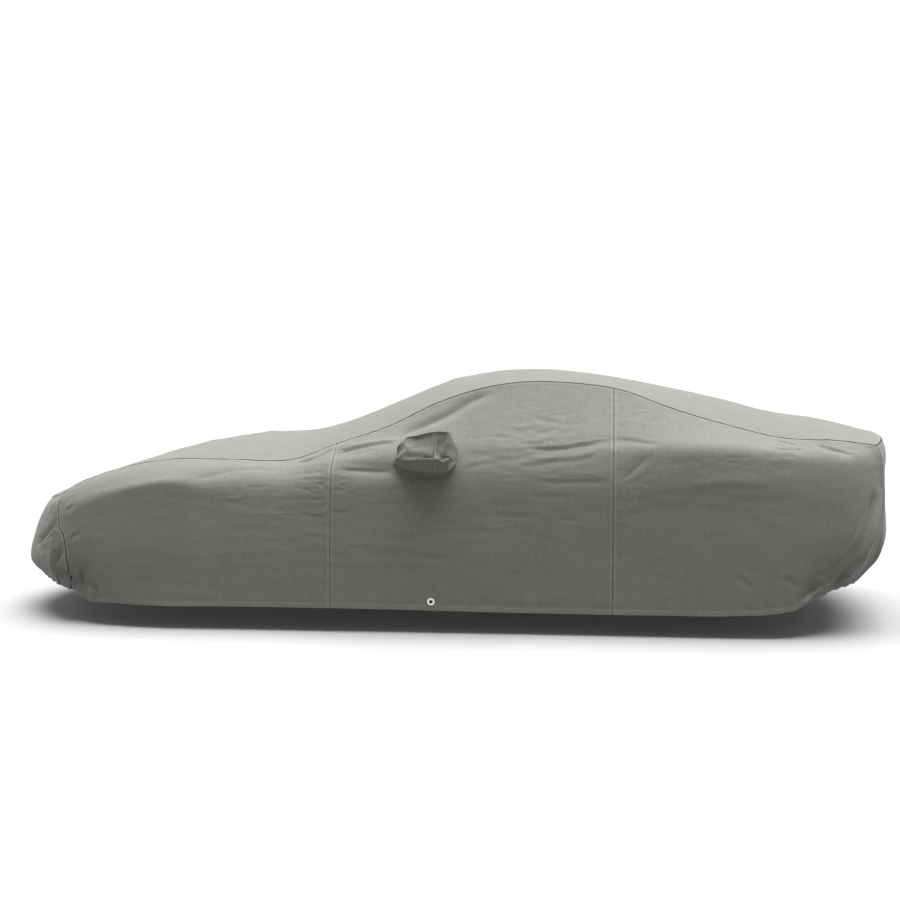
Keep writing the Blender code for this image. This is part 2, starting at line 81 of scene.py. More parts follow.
# at, turn, shoulderOut, shoulder, crestOut, crest, crestRound, bellyOut, belly, hemOut, hem
wallRows = np.array((
    (-1, 90, 38, 545, 78, 460, 60, 134, 268, 55, 203),
    (-0.5, 72, 38, 550, 78, 465, 60, 134, 268, 55, 203),
    (0, 42, 42, 600, 64, 510, 70, 100, 290, 30, 182),
    (1, 22, 70, 672, 118, 590, 45, 150, 330, 68, 158),
    (1.5, 16, 80, 713, 143, 637, 35, 173, 355, 125, 120),
    (2, 10, 90, 750, 165, 675, 25, 195, 380, 175, 121),
    (3, 0, 110, 795, 205, 737, 22, 225, 420, 225, 117),
    (4, 0, 122, 802, 195, 722, 60, 225, 420, 228, 120),
    (5, 0, 115, 797, 190, 720, 90, 220, 420, 222, 121),
    (6, 0, 155, 855, 235, 755, 90, 255, 420, 255, 121),
    (7, 0, 200, 882, 265, 765, 100, 285, 420, 283, 119),
    (8, 0, 232, 895, 302, 765, 110, 320, 420, 318, 116),
    (9, 0, 262, 900, 326, 765, 110, 340, 420, 338, 113),
    (10, 0, 285, 905, 343, 765, 110, 355, 420, 353, 111),
    (11, 0, 287, 915, 340, 768, 100, 350, 420, 350, 110),
    (12, 0, 278, 922, 312, 768, 60, 322, 420, 320, 112),
    (13, 0, 245, 925, 278, 768, 25, 288, 420, 288, 114),
    (14, -6, 182, 900, 222, 755, 50, 235, 420, 222, 138),
    (14.5, -12, 155, 888, 195, 735, 80, 210, 425, 160, 200),
    (15, -20, 132, 878, 165, 715, 90, 178, 430, 85, 238),
    (16, -55, 30, 870, 46, 720, 100, 58, 395, -88, 248),
    (16.5, -78, 25, 870, 12, 720, 100, 34, 385, -130, 238),
    (17, -90, 25, 870, 12, 720, 100, 34, 385, -130, 238),
)) / (1, 1, *[mm] * 9)
noseSeamDrift = ((0, 0), (1, 0.12), (2, 0.34), (3, 0.95), (4, 0.72))  # the nose seam's lean down the wall

# The broad folds: height (a trough's is below 0), reach, and points: x, distance from the middle line, height
foldRows = (
    (7, 45, (32, 0, 1206), (32, 300, 1191), (30, 500, 1155)),
    (5, 32, (-1364, 0, 852), (-1360, 300, 848), (-1352, 520, 838)),
    (5, 32, (-1013, 0, 909), (-1012, 300, 899), (-1010, 520, 871)),
    (-10, 30, (-160, 720, 970), (-30, 695, 1024), (54, 687, 1055), (190, 635, 1136)),
    (10, 30, (-500, 750, 893), (-400, 760, 905), (-300, 770, 922), (-215, 770, 935)),
    (-8, 28, (-500, 800, 850), (-400, 800, 865), (-310, 805, 885)),
    (-8, 30, (-360, 875, 795), (-190, 883, 788), (40, 893, 776)),
    (-7, 26, (420, 851, 893), (590, 853, 900), (700, 850, 913), (870, 834, 943), (1060, 848, 935)),
    (-6, 26, (900, 910, 783), (955, 908, 795), (984, 899, 836), (1030, 889, 869)),
    (-8, 35, (1860, 750, 930), (1940, 790, 882), (2000, 787, 855)),
    (14, 32, (2165, 735, 690), (2155, 761, 610), (2134, 781, 530), (2100, 785, 420), (2050, 760, 310)),
    (-10, 28, (2200, 660, 600), (2190, 680, 500), (2160, 700, 400), (2110, 680, 320)),
    (-14, 28, (1970, 830, 340), (1958, 836, 285), (1934, 820, 235)),
    (-12, 28, (1830, 906, 270), (1800, 905, 220)),
    (-8, 30, (-1930, 755, 500), (-2000, 673, 447), (-2100, 517, 353)),
    (-10, 28, (-1876, 800, 380), (-1915, 786, 330), (-1924, 770, 280)),
    (-12, 26, (-1770, 829, 280), (-1775, 800, 170)),
)

# The finer creases: depth (a ridge's is below 0), reach, lip (a share, raised along the upper side), points
creaseRows = (
    # along the middle side's upper half
    (4.2, 7.8, 0.7, (430, 837, 916), (540, 846, 903), (650, 845, 913), (710, 841, 923), (800, 831, 938),
     (870, 828, 948)),
    (3.2, 20, 0.4, (115, 850, 885), (227, 857, 875), (350, 857, 877), (470, 853, 885)),
    (3.4, 12, 0.6, (460, 886, 838), (600, 880, 848), (740, 872, 858), (840, 850, 900)),
    (3, 9, 0.6, (500, 906, 752), (620, 908, 752), (740, 910, 752), (870, 912, 750)),
    (2.6, 9, 0.6, (580, 904, 772), (700, 906, 772), (820, 908, 772)),
    # in the shade of the long seam
    (11, 26, 0, (-230, 764, 930), (-132, 716, 975), (-45, 694, 1019), (53, 669, 1063), (150, 633, 1121),
     (229, 622, 1151), (330, 610, 1175)),
    (7.5, 16, 0.5, (-620, 740, 852), (-520, 735, 872), (-458, 732, 889), (-400, 740, 897)),
    (6, 24, 0, (-1250, 880, 728), (-1138, 856, 752), (-1058, 831, 770), (-972, 810, 784), (-863, 802, 787),
     (-720, 818, 779)),
    (3.5, 12, 0.6, (880, 826, 950), (960, 832, 946), (1050, 853, 929), (1120, 856, 930)),
    (2.8, 15, 0.5, (340, 759, 1006), (430, 778, 988), (525, 772, 998)),
    (2.8, 14, 0.6, (400, 820, 937), (490, 832, 926), (570, 829, 934)),
    (3, 16, 0.6, (250, 864, 863), (370, 873, 853), (490, 861, 879), (620, 856, 892)),
    (2.8, 14, 0.5, (410, 887, 818), (530, 886, 831), (630, 879, 855)),
    (2, 12, 0.5, (520, 909, 740), (740, 912, 752), (870, 914, 759)),
    (1.8, 14, 0.4, (470, 913, 687), (620, 916, 677), (720, 918, 685)),
    # round the mirror pocket
    (11, 45, 0, (-500, 868, 798), (-360, 873, 802), (-240, 873, 806), (-120, 873, 810)),
    (8.5, 13, 0.7, (-530, 786, 858), (-440, 778, 877), (-360, 777, 898), (-170, 775, 931)),
    (4.8, 9, 0.6, (-480, 868, 796), (-361, 873, 793), (-272, 877, 791), (-190, 878, 794)),
    (5.5, 12, 0.2, (-160, 888, 778), (-50, 892, 770), (40, 893, 773), (100, 891, 786)),
    (3, 14, 0.5, (140, 887, 803), (230, 881, 828), (350, 876, 843)),
    # behind the second seam and along the rear shoulder
    (3.6, 8.5, 0.6, (900, 915, 759), (930, 912, 776), (980, 902, 817), (1030, 888, 864), (1060, 886, 879)),
    (2.2, 16, 0.4, (930, 918, 735), (1000, 917, 765), (1080, 908, 813)),
    (2, 14, 0.4, (910, 926, 596), (1050, 929, 612)),
    # under the seam near the tail
    (6, 10, 0.6, (1650, 738, 949), (1720, 769, 928), (1770, 775, 919)),
    (5.5, 10, 0.6, (1620, 853, 905), (1690, 850, 898), (1760, 840, 900), (1820, 820, 912)),
    (7, 11, 0.7, (1840, 755, 925), (1900, 777, 904), (1960, 790, 880), (2020, 783, 862)),
    (4.5, 8, 0.6, (2085, 700, 905), (2095, 706, 880), (2090, 712, 850)),
    (4.5, 8, 0.6, (2120, 680, 905), (2128, 690, 875), (2124, 696, 840)),
    # the tail's corner
    (-16, 20, 0, (2173, 701, 706), (2164, 721, 634), (2136, 769, 542), (2088, 804, 424), (2042, 800, 340),
     (1978, 824, 294)),
    (18, 20, 0, (2140, 742, 740), (2120, 780, 630), (2086, 815, 522), (2036, 838, 410), (1985, 838, 330)),
    (5, 12, 0.5, (2100, 800, 660), (2050, 830, 560), (1990, 850, 470), (1930, 860, 400)),
    (4, 12, 0.5, (2040, 838, 480), (1980, 855, 400), (1910, 870, 340), (1860, 880, 300)),
    (18, 10, 0.6, (2020, 808, 330), (1990, 817, 290), (1950, 823, 250), (1930, 820, 232)),
    (10, 10, 0.6, (2050, 800, 400), (2010, 815, 345), (1960, 835, 300)),
    (16, 10, 0.6, (1870, 880, 262), (1830, 895, 232), (1800, 905, 208), (1770, 910, 190)),
    (8, 10, 0.5, (1930, 860, 300), (1890, 872, 270), (1860, 876, 240)),
    (3, 16, 0.4, (1460, 943, 315), (1500, 943, 282), (1540, 943, 248)),
    (3.5, 16, 0.4, (1690, 935, 310), (1730, 925, 275), (1760, 918, 243)),
    # the rear crest
    (-2.5, 26, 0, (1190, 930, 705), (1290, 930, 750), (1380, 931, 765), (1480, 931, 766), (1580, 931, 748),
     (1640, 932, 720)),
    # the nose
    (8, 13, 0.6, (-1929, 737, 558), (-1939, 747, 493), (-2018, 653, 429), (-2090, 552, 363)),
    (3.5, 12, 0.5, (-1867, 791, 565), (-1840, 800, 585), (-1815, 809, 603)),
    (3.5, 12, 0.5, (-1839, 823, 428), (-1810, 830, 450), (-1772, 840, 471)),
    (8.5, 12, 0.4, (-1876, 808, 369), (-1909, 785, 335), (-1930, 763, 286)),
    (18, 9, 0.5, (-1778, 820, 290), (-1780, 812, 245), (-1782, 800, 200), (-1784, 795, 175)),
    (11, 8, 0.5, (-1721, 842, 219), (-1710, 843, 196), (-1698, 844, 174)),
    (8, 8, 0.5, (-1745, 836, 225), (-1738, 836, 200), (-1735, 834, 178)),
    (16, 10, 0.6, (-1880, 788, 280), (-1850, 790, 240), (-1825, 785, 205), (-1810, 780, 185)),
    (10, 9, 0.6, (-1905, 770, 300), (-1900, 765, 255), (-1895, 757, 215)),
    (7, 9, 0.6, (-1960, 730, 640), (-2000, 690, 600), (-2050, 620, 560)),
    (6, 9, 0.6, (-1960, 735, 420), (-1995, 700, 380), (-2030, 640, 330)),
    (5, 10, 0.6, (-1905, 770, 690), (-1870, 780, 700), (-1820, 785, 712)),
    # dark wedges and short streaks pulled out from the first seam
    (10, 12, 0.5, (-700, 770, 815), (-620, 762, 838), (-570, 752, 850), (-520, 745, 858)),
    (8, 10, 0.5, (-520, 752, 862), (-480, 756, 868), (-440, 760, 872)),
    (1.6, 10, 0.5, (-1036, 894, 633), (-990, 894, 634), (-945, 894, 631)),
    (2, 10, 0.5, (-674, 907, 581), (-600, 912, 571), (-524, 916, 564)),
    (2, 10, 0.5, (-705, 896, 654), (-610, 903, 657), (-524, 910, 657)),
    (1.6, 10, 0.5, (-653, 916, 474), (-580, 918, 472), (-519, 920, 471)),
    (1.8, 10, 0.5, (-503, 889, 754), (-450, 893, 753), (-398, 896, 750)),
    (1.8, 10, 0.5, (-499, 915, 594), (-460, 915, 593), (-420, 916, 590)),
    (1.6, 12, 0.5, (-430, 924, 421), (-360, 924, 419), (-296, 923, 415)),
    (1.6, 12, 0.5, (-85, 923, 376), (0, 923, 374), (86, 924, 371)),
)

# The wrinkled zones: height, the middle's x and height, reach along and up, a wrinkle's length along and up
wrinkleRows = (
    (4.4, 550, 955, 280, 60, 120, 24),
    (2.6, 520, 1060, 220, 50, 110, 26),
    (2, 520, 800, 340, 90, 130, 22),
    (3.4, -580, 735, 80, 100, 60, 17),
    (1.8, -440, 740, 60, 110, 50, 17),
    (1.6, -700, 580, 180, 60, 90, 18),
    (1.8, -60, 690, 300, 70, 110, 22),
    (5, 1710, 915, 100, 34, 36, 20),
    (3, 1960, 905, 160, 30, 70, 18),
    (1.4, -950, 700, 300, 70, 100, 20),
    (2.4, 930, 640, 45, 80, 20, 60),
    (2.4, 1020, 700, 110, 60, 60, 22),
    (2.6, 1430, 850, 280, 50, 80, 18),
    (2.8, -2020, 420, 120, 120, 60, 30),
    (2.4, 1000, 1060, 220, 60, 80, 30),
    (4, 1920, 300, 110, 60, 45, 45),
    (4.5, -1800, 245, 90, 55, 30, 40),
    (2.2, -300, 860, 110, 60, 70, 24),
    (2, 400, 560, 500, 80, 150, 26),
)
rightShift = (0.028, 0, -0.01)  # the hidden side's creases lie a little further back and lower
rightDepth = 0.85  # and are shallower

# The cloth's slow waves: height, length along x, y and z, and seed
waveRows = ((2.2, 420, 350, 300, 3.1), (1.1, 170, 150, 120, 7.7), (0.6, 100, 80, 35, 1.9))
seamForm = {
    "groove": 0.0026, "grooveReach": 0.0034, "ridge": 0.0013, "ridgeAway": 0.0095, "ridgeReach": 0.005,
    "pucker": 0.0016, "puckerReach": 0.035, "lean": 0.03,
}
hemForm = {"band": 0.022, "proud": 0.001, "groove": 0.0012, "grooveReach": 0.003}
# place round the ring from the nose's middle, and depth of the gathers at the hem there
gatherRows = ((0, 5), (1, 6), (2, 4), (3.2, 0.8), (14, 0.8), (15.2, 5), (17, 6.5), (18, 5))
gather = {"pitch": 0.034, "reach": 0.05, "broadPitch": 0.085, "broadReach": 0.15}
topGathers = 7  # a place in the ring with hardly a gather, which serves for the whole top panel


def lengthOf(vectors):
    return np.linalg.norm(vectors, axis=-1)


def unit(vectors):
    return vectors / np.maximum(lengthOf(vectors)[..., None], 1e-12)


def smooth(value):
    value = np.clip(value, 0, 1)
    return value * value * (3 - 2 * value)


def bell(value):
    return np.exp(-value * value)


def sideOf(place):
    return np.where(place < 0, left, right)


def spread(*places):
    return np.broadcast_arrays(*(np.asarray(place, float) for place in places))


def running(points):
    # the length along a line of points, or down each column of a grid of them
    steps = lengthOf(np.diff(points, axis=0))
    return np.concatenate([np.zeros((1, *steps.shape[1:])), np.cumsum(steps, axis=0)])


def ringed(w):
    # places round the ring of walls, from -18 to 18
    return (np.asarray(w, float) + 18) % 36 - 18


def along(table, place, levelEnds=False):
    # a table's rows at places along its first column, on smooth curves through them
    table = np.asarray(table, float)
    last = len(table) - 1
    i = np.searchsorted(table[1:last, 0], place, side="left")
    before, a, b, after = (table[np.clip(i + n, 0, last)] for n in (-1, 0, 1, 2))
    span = b[..., :1] - a[..., :1]
    t = (np.asarray(place)[..., None] - a[..., :1]) / span
    start = (b - before) / (b[..., :1] - before[..., :1]) * span
    end = (after - a) / (after[..., :1] - a[..., :1]) * span
    if levelEnds:
        start[i == 0] = 0
        end[i == last - 1] = 0
    curve = a * (1 - t) ** 2 * (1 + 2 * t) + b * t**2 * (3 - 2 * t)
    return curve + start * t * (1 - t) ** 2 - end * t**2 * (1 - t)


def topPoint(at, c):
    # c runs from -1 on the left seam to 1 on the right one
    at, c = spread(at, c)
    _, x, half, seam, ridgeX, ridge = np.moveaxis(along(topRows, at), -1, 0)
    across = np.abs(c)
    x = x + (ridgeX - x) * (1 - across**2)
    z = seam + (ridge - seam) * (1 - across ** cover["crownPower"])
    return np.stack([x, half * c, z], -1) - cover["origin"]


def seamEdge(at, side):
    # where on the top panel its edge meets the walls
    return np.clip(at, 0, 16), side * np.clip(np.minimum(1 + at, 17 - at), 0, 1)


def pick(rows, i):
    return np.take_along_axis(rows, i[..., None, None], axis=-2)[..., 0, :]


def rounded(corners, radii, v):
    # places on the line through the corners, each rounded between v - 1/4 and v + 1/4
    last = corners.shape[-2] - 1
    arms = np.diff(corners, axis=-2)
    length = np.linalg.norm(arms, axis=-1, keepdims=True)
    arms = arms / np.maximum(length, 1e-9)
    starts = corners[..., :-1, :] + arms * np.minimum(radii[..., :-1, None], 0.45 * length)
    ends = corners[..., 1:, :] - arms * np.minimum(radii[..., 1:, None], 0.45 * length)
    i = np.clip(np.rint(v).astype(int), 1, last - 1)
    s = np.clip((v - i) * 2 + 0.5, 0, 1)[..., None]
    bend = pick(ends, i - 1) * (1 - s) ** 2 + pick(corners, i) * 2 * s * (1 - s) + pick(starts, i) * s**2
    k = np.clip(v.astype(int), 0, last - 1)
    low = np.where(k > 0, k + 0.25, 0.0)
    high = np.where(k < last - 1, k + 0.75, float(last))
    t = ((v - low) / (high - low))[..., None]
    straight = pick(starts, k) * (1 - t) + pick(ends, k) * t
    return np.where((np.abs(v - i) <= 0.25)[..., None], bend, straight)


def wallPoint(w, v):
    # w runs round the ring of walls: 0 at the nose's middle, up to 18 along the right side to the
    # tail's middle and down to -18 along the left. v runs down from 0 at the long seam to 4 at the hem.
    w, v = spread(w, v)
    w = ringed(w)
    side = sideOf(w)
    at = np.abs(w) - 1
    reach = np.where(at < 0, *cover["driftReach"])
    at = at + along(noseSeamDrift, v)[..., 1] * np.clip(1 - np.abs(at) / reach, 0, 1)
    row = along(wallRows, at, levelEnds=True)
    foot = topPoint(*seamEdge(at, side))
    level = np.zeros_like(at)
    out = np.stack([level, row[..., 2], row[..., 4], row[..., 7], row[..., 9]], -1)
    height = np.stack([foot[..., 2], *(row[..., n] - cover["origin"][2] for n in (3, 5, 8, 10))], -1)
    radii = [level, level + cover["shoulderRound"], row[..., 6], level + cover["bellyRound"], level]
    out, height = np.moveaxis(rounded(np.stack([out, height], -1), np.stack(radii, -1), v), -1, 0)
    turn = np.radians(row[..., 1])
    return np.stack([foot[..., 0] - out * np.sin(turn), foot[..., 1] + side * out * np.cos(turn), height], -1)


def slopes(surface, u, s, uEnds, sEnds):
    # how far the cloth runs for each step of u and of s
    step = 0.01
    u0, u1 = np.clip(u - step, *uEnds), np.clip(u + step, *uEnds)
    s0, s1 = np.clip(s - step, *sEnds), np.clip(s + step, *sEnds)
    alongU = (surface(u1, s) - surface(u0, s)) / (u1 - u0)[..., None]
    alongS = (surface(u, s1) - surface(u, s0)) / (s1 - s0)[..., None]
    return alongU, alongS


wallEnds = ((-40, 40), (0, 4))
topEnds = ((0, 16), (-1, 1))


def seamNormal(w):
    # the facing of the long seam, which the panels on both sides of it share
    w = ringed(w)
    side = sideOf(w)
    wall = np.cross(*slopes(wallPoint, w, np.zeros_like(w), *wallEnds))
    top = np.cross(*slopes(topPoint, *seamEdge(np.abs(w) - 1, side), *topEnds))
    return unit(unit(wall) + unit(top))


def leaning(normal, edge, away):
    near = (1 - smooth(away / seamForm["lean"]))[..., None]
    return unit(normal * (1 - near) + edge * near)


def waves(points, size, seed=0.0):
    # soft noise; size is a wave's length along x, y and z
    flat = (points / size + seed).reshape(-1, 3).tolist()
    return np.array([noise.noise(place) for place in flat]).reshape(points.shape[:-1])


def placed(points, side):
    return np.array(points) * (1, side, 1) / mm - cover["origin"]


def smoothLine(line, steps=14):
    # a curve through a crease's points
    run = running(line)
    return along(np.column_stack([run, line]), np.linspace(0, run[-1], steps))[:, 1:]


def nearLine(points, line):
    # distance from a line, place along it from 0 to 1, the way to the point and the line's direction there
    best = np.full(len(points), 1e9)
    place = np.zeros(len(points))
    gap, heading = np.zeros_like(points), np.zeros_like(points)
    for n, (a, b) in enumerate(zip(line, line[1:])):
        t = np.clip(((points - a) @ (b - a)) / ((b - a) @ (b - a)), 0, 1)
        way = points - (a + t[:, None] * (b - a))
        closer = lengthOf(way) < best
        best[closer] = lengthOf(way[closer])
        place[closer] = (n + t[closer]) / (len(line) - 1)
        gap[closer] = way[closer]
        heading[closer] = unit(b - a)
    return best, place, gap, heading


def foldPush(points, normals, push):
    for rows, fine in ((foldRows, False), (creaseRows, True)):
        for depth, reach, *line in rows:
            depth, reach, lip = depth / mm, reach / mm, line.pop(0) if fine else 0
            for side in (left, right):
                curve = placed(line, side)
                if fine:
                    curve = smoothLine(curve + np.multiply(rightShift, side == right))
                margin = 4 * reach + 0.03
                near = np.all((points > curve.min(0) - margin) & (points < curve.max(0) + margin), axis=1)
                if not near.any():
                    continue
                _, place, gap, heading = nearLine(points[near], curve)
                facing = normals[near]
                gap = gap - facing * np.sum(gap * facing, axis=1, keepdims=True)
                away = lengthOf(gap)
                if not fine:
                    push[near] += depth * np.sin(math.pi * (0.15 + 0.7 * place)) * bell(away / reach)
                    continue
                above = np.sum(gap * np.cross(facing, heading), axis=1) * -side
                fade = smooth(place / 0.25) * smooth((1 - place) / 0.25)
                beyond = np.sqrt(np.maximum(away**2 - above**2, 0))
                form = lip * bell((above - 1.6 * reach) / reach) - np.exp(-((np.abs(above) / reach) ** 1.5))
                share = rightDepth if side == right else 1
                push[near] += share * depth * form * fade * bell(beyond / reach)


def wrinkled(points):
    # crisp little ridges within each wrinkled zone, and how rumpled the cloth is there
    push, rumpled = np.zeros(len(points)), np.zeros(len(points))
    hidden = points[:, 1:2] > 0
    for seed, (height, x, z, reachX, reachZ, alongX, alongZ) in enumerate(np.array(wrinkleRows) / mm):
        away = (points + cover["origin"] - (hidden * rightShift + (x, 0, z))) / (reachX, 1e9, reachZ)
        near = (np.sum(away**2, axis=1) < 4) & (np.abs(points[:, 1]) > 0.5)
        if near.any():
            swell = waves(points[near], (alongX, 0.2, alongZ), 1.3 * seed)
            ridges = 0.45 - np.sqrt(swell**2 + 0.0004) * 2.2
            share = bell(lengthOf(away[near]))
            push[near] += height * share * (ridges + 0.4 * swell)
            rumpled[near] += share * height / 0.003
    return push, rumpled


hemPlaces = np.linspace(-18, 18, 2401)
hemLengths = running(wallPoint(hemPlaces, 4))


def clothPush(points, normals, seamAway, hemAway, w):
    # how far the hanging cloth lies out from its plain form
    shape = points.shape[:-1]
    flat, facing = points.reshape(-1, 3), normals.reshape(-1, 3)
    push = wrinkled(flat)[0]
    foldPush(flat, facing, push)
    for height, *size, seed in waveRows:
        push += height / mm * waves(flat, np.array(size) / mm, seed)
    upright = 1 - np.abs(facing[:, 2])
    patchy = smooth(0.5 + waves(flat, (0.5, 0.5, 0.3), 9.4))
    push += 0.0012 * upright * waves(flat, (0.28, 0.28, 0.04), 5.3) * patchy
    push = push.reshape(shape)
    pucker = waves(flat, (0.03, 0.03, 0.014), 2.2).reshape(shape)
    push += seamForm["pucker"] * pucker * bell(seamAway / seamForm["puckerReach"])
    push += seamForm["ridge"] * bell((seamAway - seamForm["ridgeAway"]) / seamForm["ridgeReach"])
    push -= seamForm["groove"] * bell(seamAway / seamForm["grooveReach"])
    push += hemForm["proud"] * smooth((hemForm["band"] - hemAway) / 0.004)
    push -= hemForm["groove"] * bell((hemAway - hemForm["band"]) / hemForm["grooveReach"])
    depth = np.interp(np.abs(ringed(w)), *zip(*gatherRows)) / mm
    run = np.interp(ringed(w), hemPlaces, hemLengths)
    bend = 0.8 * waves(flat, (0.11, 0.11, 0.11), 4.4).reshape(shape)
    fine = np.abs(np.sin(math.pi * run / gather["pitch"] + bend)) - 0.6
    broad = np.sin(math.tau * run / gather["broadPitch"] + 2 * bend)
    push += depth * 0.8 * fine * bell(hemAway / gather["reach"])
    return push + depth * 0.6 * broad * bell(hemAway / gather["broadReach"])


def calmed(points, push):
    # the cloth lies flat round each eyelet
    for side in (left, right):
        push = push * smooth((lengthOf(points - eyeletPlace(side).translation) - 0.016) / 0.035)
    return push


def uprightAway(w, speed, seams):
    # distance from the nearest of the upright seams
    return np.min([np.abs(np.abs(ringed(w)) - seam) for seam in seams], axis=0) * speed


def wallCloth(w, v, seamDistance, hemDistance):
    w, v = spread(w, v)
    points = wallPoint(w, v)
    alongW, alongV = slopes(wallPoint, w, v, *wallEnds)
    topEdge = seamNormal(w[:1] if w.ndim > 1 else w)
    normals = leaning(unit(np.cross(alongW, alongV)), topEdge, seamDistance)
    speed = lengthOf(alongW)
    sides, corners = (uprightAway(w, speed, cover[seams]) for seams in ("sideSeams", "cornerSeams"))
    nearest = np.minimum(seamDistance, np.minimum(sides, corners))
    push = calmed(points, clothPush(points, normals, nearest, hemDistance, w))
    return points + normals * push[..., None], normals, sides, corners


def topCloth(at, c):
    at, c = spread(at, c)
    points = topPoint(at, c)
    alongAt, alongC = slopes(topPoint, at, c, *topEnds)
    normals = unit(np.cross(alongAt, alongC))
    side = sideOf(c)
    nearest = np.ones(at.shape)
    edges = (
        (at * lengthOf(alongAt), c),
        ((16 - at) * lengthOf(alongAt), side * (18 - np.abs(c))),
        ((1 - np.abs(c)) * lengthOf(alongC), side * (at + 1)),
    )
    for away, w in edges:
        normals = leaning(normals, seamNormal(w), away)
        nearest = np.minimum(nearest, away)
    push = clothPush(points, normals, nearest, far, topGathers)
    return points + normals * push[..., None], normals, nearest


panelForm = {
    "rows": {left: 122, right: 84, 0: 96},  # rows down the left sides, the right sides and the two ends
    "cells": {left: 0.0086, right: 0.0128, "nose": 0.009, "tail": 0.0092, "top": 0.017},  # the columns' width
    "lean": 0.42,  # how much closer a side's rows lie near the long seam
    "ends": {"nose": (-1, 1), "tail": (17, 19)},
    "sides": {"front_side": (1, 7), "middle_side": (7, 12), "rear_side": (12, 17)},
    "hemRows": 6,  # rows of the outer face that the turned hem repeats on the inside
}
fineSteps = (0.0003, 0.0022, 0.0042, 0.0065, 0.0095, 0.013, 0.0175, 0.0235)  # the rows next to a seam
tuck = {"down": 0.002, "deep": 0.005, "width": 0.006}  # the allowance that lies under the next piece


def spaced(length, cell, count=None, lean=0):
    # distances from 0 to each length, closer together at both ends, and with a lean also near the start
    length = np.atleast_1d(length)
    inner = length - 2 * fineSteps[-1]
    count = count or max(3, round(float(inner.max()) / cell))
    share = np.linspace(0, 1, count + 1)[:, None]
    middle = fineSteps[-1] + inner[None, :] * (share * (1 - lean) + share**2 * lean)
    start = np.outer(fineSteps[:-1], np.ones(len(length)))
    return np.concatenate([start, middle, length[None, :] - start[::-1]])


def lengthsDown(surface, columns, ends, count=241):
    # places down each column, and the cloth's length down to them
    dense = np.linspace(*ends, count)[:, None]
    return dense, running(surface(columns[None, :], dense))


def lengthsAlong(surface, ends, level, count):
    # places along one level of a surface, and the cloth's length up to them
    dense = np.linspace(*ends, count)
    return dense, running(surface(dense, np.full(dense.shape, level)))


def columnPlaces(surface, ends, level, cell):
    # columns evenly spaced along one level of a panel
    dense, run = lengthsAlong(surface, ends, level, 1201)
    distances = spaced(run[-1], cell)[:, 0]
    return np.interp(distances, run, dense), distances


def lookedUp(values, known, sought):
    # each column's values, found in its known figures and read off as the sought ones
    known, sought = np.broadcast_arrays(known, sought)
    return np.stack([np.interp(*lines) for lines in zip(np.transpose(values), known.T, sought.T)], -1)


def meshOf(name, made):
    data = bpy.data.meshes.new(name)
    made.to_mesh(data)
    made.free()
    return data


def linked(data):
    made = bpy.data.objects.new(data.name, data)
    scene.collection.objects.link(made)
    return made


def finished(mesh, finish):
    # a smooth object with its finish
    mesh.shade_smooth()
    mesh.materials.append(finish)
    mesh.update()
    return linked(mesh)


def gridPiece(name, points, cut, marks, finish):
    # a sheet of cloth: a plain grid whose corners go to their places. cut is each one's place in the flat
    # cloth, and marks are its distances from the seams and the hem
    rows, columns = points.shape[:2]
    grid = bmesh.new()
    bmesh.ops.create_grid(grid, x_segments=columns - 1, y_segments=rows - 1, size=1)
    mesh = meshOf(name, grid)
    mesh.vertices.foreach_set("co", points.astype(np.float32).ravel())
    corners = np.empty(len(mesh.loops), np.int32)
    mesh.loops.foreach_get("vertex_index", corners)
    layer = mesh.uv_layers.new(name="cut")
    layer.uv.foreach_set("vector", cut.reshape(-1, 2)[corners].astype(np.float32).ravel())
    for mark, away in marks.items():
        kept = mesh.attributes.new(mark, "FLOAT", "POINT")
        away = np.broadcast_to(np.minimum(away, 0.1), (rows, columns))
        kept.data.foreach_set("value", away.astype(np.float32).ravel())
    return finished(mesh, finish)


def thicken(piece):
    wall = piece.modifiers.new("cloth", "SOLIDIFY")
    wall.thickness = cover["cloth"]
    wall.offset = -1
    return piece


def allowance(edge, inner, normals):
    # the cloth past a seam, which lies under the next piece
    ahead = edge - inner
    ahead = unit(ahead - normals * np.sum(ahead * normals, axis=-1, keepdims=True))
    return edge - normals * tuck["down"], edge - normals * tuck["deep"] + ahead * tuck["width"]


